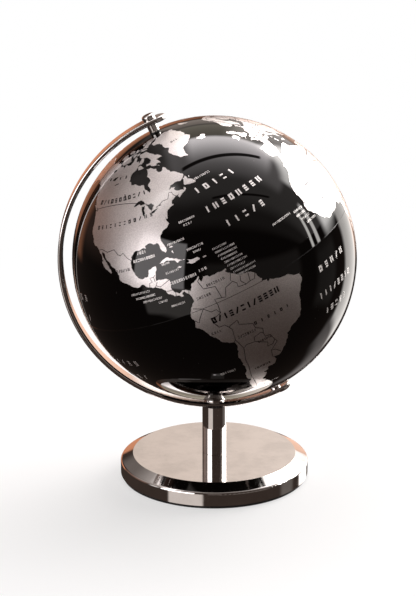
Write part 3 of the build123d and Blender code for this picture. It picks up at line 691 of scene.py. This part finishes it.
class Skin:
    """Thin closed sheets and strips on the ball, gathered into one object with true round shading."""

    def __init__(self):
        self.points = []
        self.faces = []
        self.outward = []

    def shell(self, directions, triangles, rim, low, high):
        """A sheet between two heights: its top, its underside and the wall round it."""
        first = len(self.points)
        count = len(directions)
        self.points += [d * high for d in directions] + [d * low for d in directions]
        for face in triangles:
            self.faces.append([first + i for i in face])
            self.faces.append([first + count + i for i in reversed(face)])
            self.outward += [1, -1]
        for a, b in rim:
            self.faces.append([first + b, first + a, first + count + a, first + count + b])
            self.outward.append(0)

    def patch(self, outline, low, high):
        """A sheet inside a closed outline of directions, with a grid of points inside it."""
        middle = sum(outline, Vector()).normalized()
        side = middle.orthogonal().normalized()
        other = middle.cross(side)

        def flatten(d):
            flat = Vector((d.dot(side), d.dot(other)))
            return flat.normalized() * d.angle(middle)

        def lift(p):
            reach = p.length
            spread = sin(reach) / reach if reach else 1
            return middle * cos(reach) + (side * p.x + other * p.y) * spread

        ring = [flatten(d) for d in outline]
        count = len(ring)
        edge = np.array(ring)
        ahead = np.roll(edge, -1, axis=0)
        (left, bottom), (right, top) = edge.min(axis=0), edge.max(axis=0)
        inner = []
        for x in np.arange(left + MESH_STEP / 2, right, MESH_STEP):
            for y in np.arange(bottom + MESH_STEP / 2, top, MESH_STEP):
                spans = (edge[:, 1] > y) != (ahead[:, 1] > y)
                near, run = edge[spans], (ahead - edge)[spans]
                crossing = near[:, 0] + (y - near[:, 1]) * run[:, 0] / run[:, 1]
                clear = np.hypot(edge[:, 0] - x, edge[:, 1] - y).min() > MESH_STEP * INNER_GAP
                if clear and (crossing > x).sum() % 2:
                    inner.append(Vector((x, y)))
        edges = [(i, (i + 1) % count) for i in range(count)]
        # output type 1 keeps only the triangles inside the outline
        flat, _, triangles, *_ = delaunay_2d_cdt(ring + inner, edges, [list(range(count))], 1, 1e-7)
        directed = {(t[i], t[(i + 1) % 3]) for t in triangles for i in range(3)}
        rim = sorted((a, b) for a, b in directed if (b, a) not in directed)
        self.shell([lift(p) for p in flat], triangles, rim, low, high)

    def strip(self, line, width, low, high):
        """A narrow band along a line of directions."""
        count = len(line)
        sides = []
        for i, here in enumerate(line):
            along = (line[min(i + 1, count - 1)] - line[max(i - 1, 0)]).normalized()
            sides.append(here.cross(along).normalized() * (width / 2 / BALL_RADIUS))
        directions = [(d - s).normalized() for d, s in zip(line, sides)]
        directions += [(d + s).normalized() for d, s in zip(line, sides)]
        quads = [(i, i + 1, count + i + 1, count + i) for i in range(count - 1)]
        ends = list(range(count)) + list(range(2 * count - 1, count - 1, -1))
        self.shell(directions, quads, list(zip(ends, ends[1:] + ends[:1])), low, high)

    def finish(self, name, material):
        """Makes the piece, its sheets shaded round and its walls flat, and puts it on the globe."""
        mesh = bpy.data.meshes.new(name)
        mesh.from_pydata(self.points, [], self.faces)
        mesh.update()
        mesh.shade_smooth()
        normals = []
        for face, outward in zip(mesh.polygons, self.outward):
            for corner in face.vertices:
                radial = mesh.vertices[corner].co.normalized() * outward
                normals.append(radial if outward else face.normal)
        mesh.normals_split_custom_set(normals)
        mesh.materials.append(material)
        piece = bpy.data.objects.new(name, mesh)
        piece.location = BALL_CENTRE
        bpy.context.collection.objects.link(piece)
        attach(piece, "globe")
        return piece


# Distances from the ball's centre: all print starts just inside its surface, and its layers end
# just outside
UNDER = BALL_RADIUS - 0.15 * MM
LAND_TOP = BALL_RADIUS + 0.07 * MM
LAKE_TOP = BALL_RADIUS + 0.10 * MM
MARK_TOP = BALL_RADIUS + 0.12 * MM


# How far a stretch of coast may bend aside, as a share of its length
LAND_ROUGH = 0.13
LAKE_ROUGH = 0.08


def coast(outline, rough, dice):
    """A closed outline with natural, uneven coasts."""
    corners = places(outline)
    ring = []
    for start, end in zip(corners, corners[1:] + corners[:1]):
        ring += ragged(start, end, rough, dice)
    return ring


def map_sheets(name, outlines, rough, high, material):
    """All the land, or all the lakes, as one piece."""
    dice = random.Random(name)
    skin = Skin()
    for outline in outlines:
        skin.patch(coast(outline, rough, dice), UNDER, high)
    return skin.finish(name, material)


BORDER_WIDTH = 0.42 * MM
# The joint of the hemispheres shows as a line where the equator crosses land, between these meridians
JOINT_WIDTH = 0.3 * MM
JOINT_STEP = 1.5
JOINT_STRETCHES = ((-80, -50.5), (9.5, 43), (100, 103), (109.5, 117))


def border_lines(material):
    """Thin dark lines between countries, and the joint of the two hemispheres across the land."""
    skin = Skin()
    for border in BORDERS:
        corners = places(border)
        line = []
        for start, end in zip(corners, corners[1:]):
            line += evenly(start, end)
        skin.strip(line + corners[-1:], BORDER_WIDTH, UNDER, MARK_TOP)
    for west, east in JOINT_STRETCHES:
        steps = max(2, int((east - west) / JOINT_STEP))
        line = [on_globe(west + (east - west) * i / steps, 0) for i in range(steps + 1)]
        skin.strip(line, JOINT_WIDTH, UNDER, MARK_TOP)
    return skin.finish("border_lines", material)


# Plain shapes that stand in for print: lines from x, y to x, y in a cell one unit high
SHAPES = (
    ((0.35, 0, 0.35, 1),),
    ((0.12, 0, 0.12, 1), (0.58, 0, 0.58, 1)),
    ((0.12, 0, 0.12, 1), (0.58, 0, 0.58, 1), (0.04, 0.88, 0.66, 0.88), (0.04, 0.12, 0.66, 0.12)),
    ((0.05, 0.12, 0.65, 0.12), (0.05, 0.88, 0.65, 0.88)),
    ((0.05, 0.12, 0.65, 0.12), (0.05, 0.5, 0.65, 0.5), (0.05, 0.88, 0.65, 0.88)),
    ((0.1, 0, 0.6, 1),),
)
# In cell heights: a shape's width, the pitch of shapes in a close row, and the width of a line
SHAPE_WIDTH = 0.7
CLOSE_PITCH = 0.85
LINE_WIDTH = 0.26
# A parallel's length, in equators, below which a shape isn't widened any further
SHORTEST_PARALLEL = 0.2


def name_row(skin, dice, west, east, latitude, height, count=0):
    """A row of plain shapes along a parallel, standing in for a printed name."""
    tall = degrees(height * MM / BALL_RADIUS)
    wide = tall / max(SHORTEST_PARALLEL, cos(radians(latitude)))
    count = count or int((east - west) / wide / CLOSE_PITCH)
    for i in range(count):
        left = west + (east - west - SHAPE_WIDTH * wide) * i / max(1, count - 1)
        for x0, y0, x1, y1 in dice.choice(SHAPES):
            start = on_globe(left + x0 * wide, latitude + y0 * tall)
            end = on_globe(left + x1 * wide, latitude + y1 * tall)
            skin.strip(evenly(start, end) + [end], height * MM * LINE_WIDTH, UNDER, MARK_TOP)


def name_marks(name, rows, material):
    """All the rows of one finish as one piece."""
    dice = random.Random(name)
    skin = Skin()
    for row in rows:
        name_row(skin, dice, *row)
    return skin.finish(name, material)


def island_rows():
    """Short rows under each other, with uneven east ends."""
    dice = random.Random("islands")
    rows = []
    for i in range(ISLAND_ROWS):
        west, east, parallel = (start + step * i for start, step in zip(ISLAND_FIRST, ISLAND_STEP))
        east += dice.uniform(-ISLAND_STRAY, ISLAND_STRAY)
        rows.append((west, east, parallel, ISLAND_HEIGHT))
    return tuple(rows)


# ---- the scene -------------------------------------------------------------------------

make_camera()
make_world()
make_floor()

black = gloss_black()
silver = foil_silver("foil_silver", (0.64, 0.605, 0.60), (0.84, 0.80, 0.79), 0.36)
bright = foil_silver("bright_silver", (0.86, 0.84, 0.83), (0.96, 0.94, 0.93), 0.55)
finish_of = {
    "globe_gloss": black,
    "polished_chrome": plated_metal("polished_metal", (0.86, 0.83, 0.81), 0.025, 0.07),
    "nylon": black_nylon(),
    "plain_steel": plated_metal("plain_steel", (0.56, 0.55, 0.54), 0.22, 0.36),
    "cast_weight": cast_iron(),
    "pad_felt": black_felt(),
}
slot_of = {row["node"]: row["material_slot"] for row in frame["record"]["subparts"]}
for node, piece in frame["nodes"].items():
    for place in piece.material_slots:
        place.material = finish_of[slot_of[node]]
# two chromed parts have a finish of their own
satin = {
    "base_cover": plated_metal("satin_metal", (0.86, 0.83, 0.81), 0.03, 0.09, 0.1),
    "meridian_arm": plated_metal("strip_metal", (0.88, 0.85, 0.83), 0.11, 0.08),
}
for node, metal in satin.items():
    for place in frame["nodes"][node].material_slots:
        place.material = metal

map_sheets("land", LAND, LAND_ROUGH, LAND_TOP, silver)
map_sheets("lakes", LAKES, LAKE_ROUGH, LAKE_TOP, black)
border_lines(black)
name_marks("sea_names", SEA_ROWS + island_rows(), bright)
name_marks("land_names", LAND_ROWS, black)
